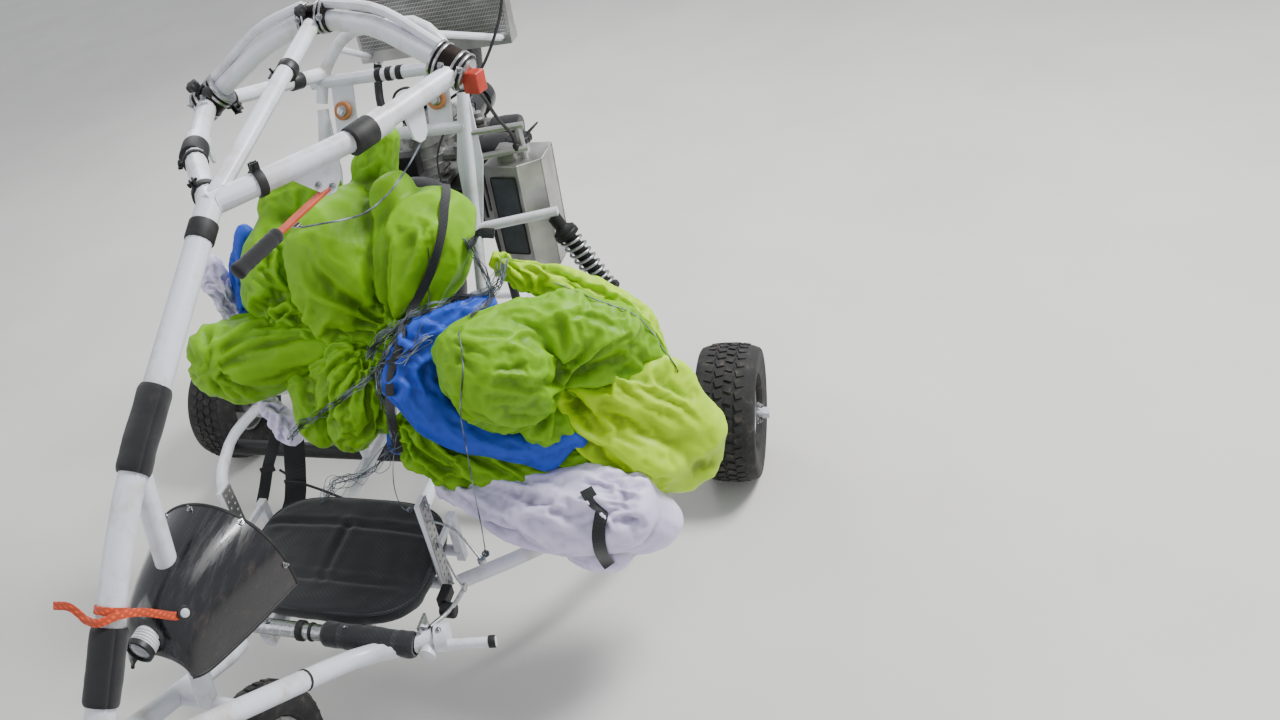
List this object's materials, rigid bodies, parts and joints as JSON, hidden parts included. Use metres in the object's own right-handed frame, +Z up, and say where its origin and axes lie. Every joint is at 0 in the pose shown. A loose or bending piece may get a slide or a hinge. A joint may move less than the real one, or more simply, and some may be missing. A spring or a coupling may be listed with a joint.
{
  "type": "paramotor trike",
  "caption": "Tandem paramotor trike: bent white tube frame with a mast and hoop, black nose cowl, two seats, rear engine with propeller, three wheels and a bundled green wing.",
  "frame": {"origin": "on the ground under the middle of the craft's length and width", "axes": "+Z up, +Y towards the tail and the propeller, +X to the right in a view from behind the nose looking aft, the pilots' left"},
  "size_m": [1.91, 2.5525, 1.5792],
  "materials": {
    "white_tube": "white gloss paint, worn",
    "foam": "closed cell foam",
    "clamp": "satin",
    "bare_tube": "satin, scratched",
    "black_tube": "black satin",
    "cowl": "gloss black, streaked with dust",
    "lamp": "polished reflector behind a clear lens",
    "engine_black": "heat proof black",
    "engine_alloy": "cast alloy, grey",
    "exhaust_steel": "heat tinted",
    "propeller": "carbon, gloss",
    "radiator": "fine vertical fins",
    "strut": "black spring, brown dust",
    "tank": "bare sheet",
    "seat": "black nylon",
    "lever": "orange anodised",
    "wing_green": "lime ripstop nylon, crinkled",
    "wing_blue": "blue ripstop nylon",
    "wing_white": "violet white ripstop nylon",
    "tyre": "worn rubber, dusty",
    "rim": "satin alloy"
  },
  "bodies": {
    "frame": {"mast_tube": "white_tube", "mast_foam_upper": "foam", "mast_foam_lower": "foam", "arm_left": "white_tube", "arm_right": "white_tube", "arm_middle": "white_tube", "hoop": "white_tube", "top_clamp": "clamp", "elbow_clamp_left": "clamp", "elbow_clamp_right": "clamp", "nose_rail_left": "white_tube", "nose_rail_right": "white_tube", "crossbar": "bare_tube", "mast_strut": "white_tube", "nose_cowl": "cowl", "headlamp": "lamp", "keel_frame": "white_tube", "axle_beam": "black_tube", "trailing_arm_left": "white_tube", "trailing_arm_right": "white_tube", "rear_post_left": "white_tube", "rear_post_right": "white_tube", "rear_arch": "white_tube", "rear_link_left": "white_tube", "rear_link_right": "white_tube", "engine_bars": "white_tube", "crankcase": "engine_black", "cylinders": "engine_alloy", "exhaust": "exhaust_steel", "gearbox": "engine_alloy", "radiator": "radiator", "coil_strut_left": "strut", "coil_strut_right": "strut", "fuel_tank": "tank", "front_seat": "seat", "front_roll": "foam", "rear_seat_frame": "white_tube", "rear_seat": "seat", "lever": "lever", "wing_back": "wing_green", "wing_roll_left": "wing_green", "wing_lobe_right": "wing_green", "wing_tail": "wing_green", "wing_blue": "wing_blue", "wing_white": "wing_white"},
    "steering": {"fork": "bare_tube"},
    "front_wheel": {"front_tyre": "tyre", "front_rim": "rim"},
    "rear_wheel_left": {"rear_tyre_left": "tyre", "rear_rim_left": "rim"},
    "rear_wheel_right": {"rear_tyre_right": "tyre", "rear_rim_right": "rim"},
    "propeller": {"propeller": "propeller"}
  },
  "joints": [
    {"name": "steer", "type": "hinge", "parent": "frame", "child": "steering", "pos_m": [0, -1.205, 0.64], "axis": [0, -0.2588, 0.9659], "range_deg": [-25, 25]},
    {"name": "front_wheel_spin", "type": "hinge", "parent": "steering", "child": "front_wheel", "pos_m": [0, -0.935, 0.23], "axis": [1, 0, 0], "continuous": true},
    {"name": "rear_wheel_spin_left", "type": "hinge", "parent": "frame", "child": "rear_wheel_left", "pos_m": [-0.852, 0.47, 0.2], "axis": [1, 0, 0], "continuous": true},
    {"name": "rear_wheel_spin_right", "type": "hinge", "parent": "frame", "child": "rear_wheel_right", "pos_m": [0.852, 0.47, 0.2], "axis": [1, 0, 0], "continuous": true},
    {"name": "propeller_spin", "type": "hinge", "parent": "frame", "child": "propeller", "pos_m": [0, 1.236, 0.93], "axis": [0, 1, 0], "continuous": true}
  ]
}
